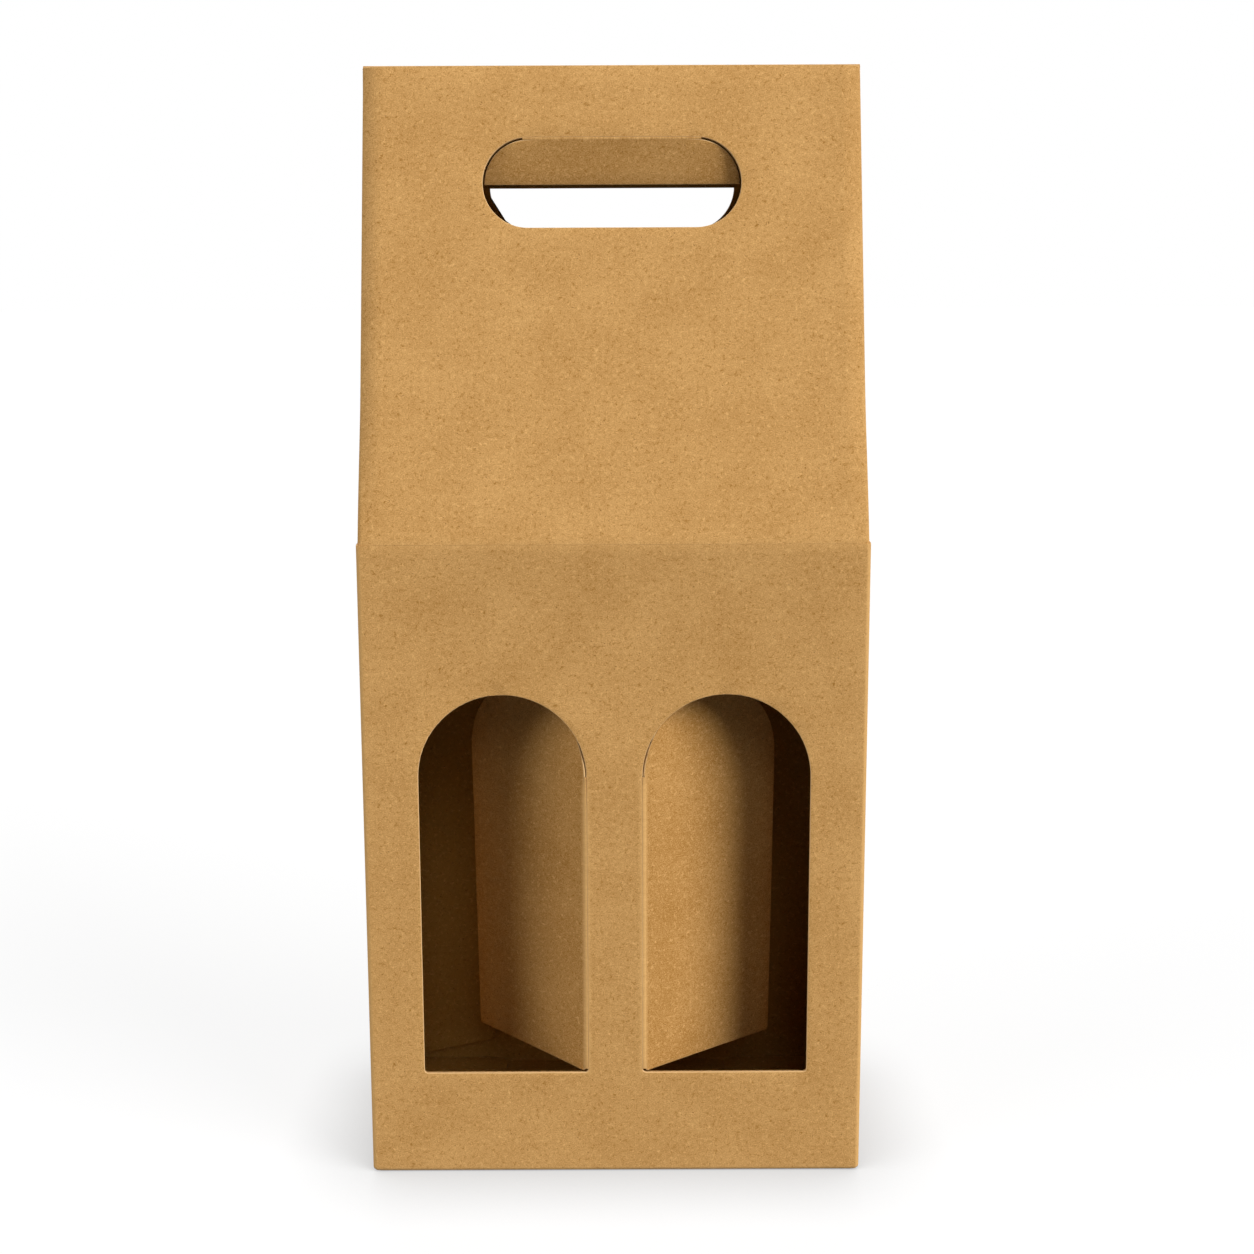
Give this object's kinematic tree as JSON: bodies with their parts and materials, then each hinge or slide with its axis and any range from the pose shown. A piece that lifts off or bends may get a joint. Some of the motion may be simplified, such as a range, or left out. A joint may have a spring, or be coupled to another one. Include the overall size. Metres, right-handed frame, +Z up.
{
  "type": "wine gift box",
  "caption": "Upright kraft carton for wine bottles, with arched front windows, fold-in dividers, a leaning roof, a tuck lid and a carrying hole.",
  "frame": {"origin": "middle of the base, on the surface the carton stands on", "axes": "+Z up, -Y out of the front with the windows, +X to the right seen from the front"},
  "size_m": [0.18, 0.09, 0.401],
  "materials": {
    "kraft_board": "matt"
  },
  "bodies": {
    "carton": {"front_panel": "kraft_board", "back_panel": "kraft_board", "left_side_panel": "kraft_board", "right_side_panel": "kraft_board", "glue_tab": "kraft_board", "front_roof_panel": "kraft_board", "back_roof_panel": "kraft_board", "left_gusset_triangle": "kraft_board", "right_gusset_triangle": "kraft_board", "left_front_gusset_wing": "kraft_board", "left_back_gusset_wing": "kraft_board", "right_front_gusset_wing": "kraft_board", "right_back_gusset_wing": "kraft_board", "front_bottom_flap": "kraft_board", "left_bottom_flap": "kraft_board", "right_bottom_flap": "kraft_board", "back_bottom_flap": "kraft_board"},
    "left_divider": {"left_divider_flap": "kraft_board"},
    "right_divider": {"right_divider_flap": "kraft_board"},
    "front_handle": {"front_handle_flap": "kraft_board"},
    "back_handle": {"back_handle_flap": "kraft_board"},
    "lid": {"top_strip": "kraft_board"},
    "tuck": {"tuck_flap": "kraft_board"}
  },
  "joints": [
    {"name": "left_divider_fold", "type": "hinge", "parent": "carton", "child": "left_divider", "pos_m": [-0.01015, -0.0435, 0.11], "axis": [0, 0, -1], "range_deg": [-44.5, 45.5]},
    {"name": "right_divider_fold", "type": "hinge", "parent": "carton", "child": "right_divider", "pos_m": [0.01015, -0.0435, 0.11], "axis": [0, 0, 1], "range_deg": [-35, 55]},
    {"name": "front_handle_fold", "type": "hinge", "parent": "carton", "child": "front_handle", "pos_m": [0, -0.01456, 0.37509], "axis": [1, 0, 0], "range_deg": [-22, 48]},
    {"name": "back_handle_fold", "type": "hinge", "parent": "carton", "child": "back_handle", "pos_m": [0, 0.01456, 0.37509], "axis": [-1, 0, 0], "range_deg": [-22, 48]},
    {"name": "lid_fold", "type": "hinge", "parent": "carton", "child": "lid", "pos_m": [0, 0.01075, 0.401], "axis": [-1, 0, 0], "range_deg": [0, 78]},
    {"name": "tuck_fold", "type": "hinge", "parent": "lid", "child": "tuck", "pos_m": [0, -0.00708, 0.3995], "axis": [-1, 0, 0], "range_deg": [-86, 6]}
  ],
  "couplings": [
    {"joint": "tuck_fold", "follows": "lid_fold", "ratio": -1}
  ]
}
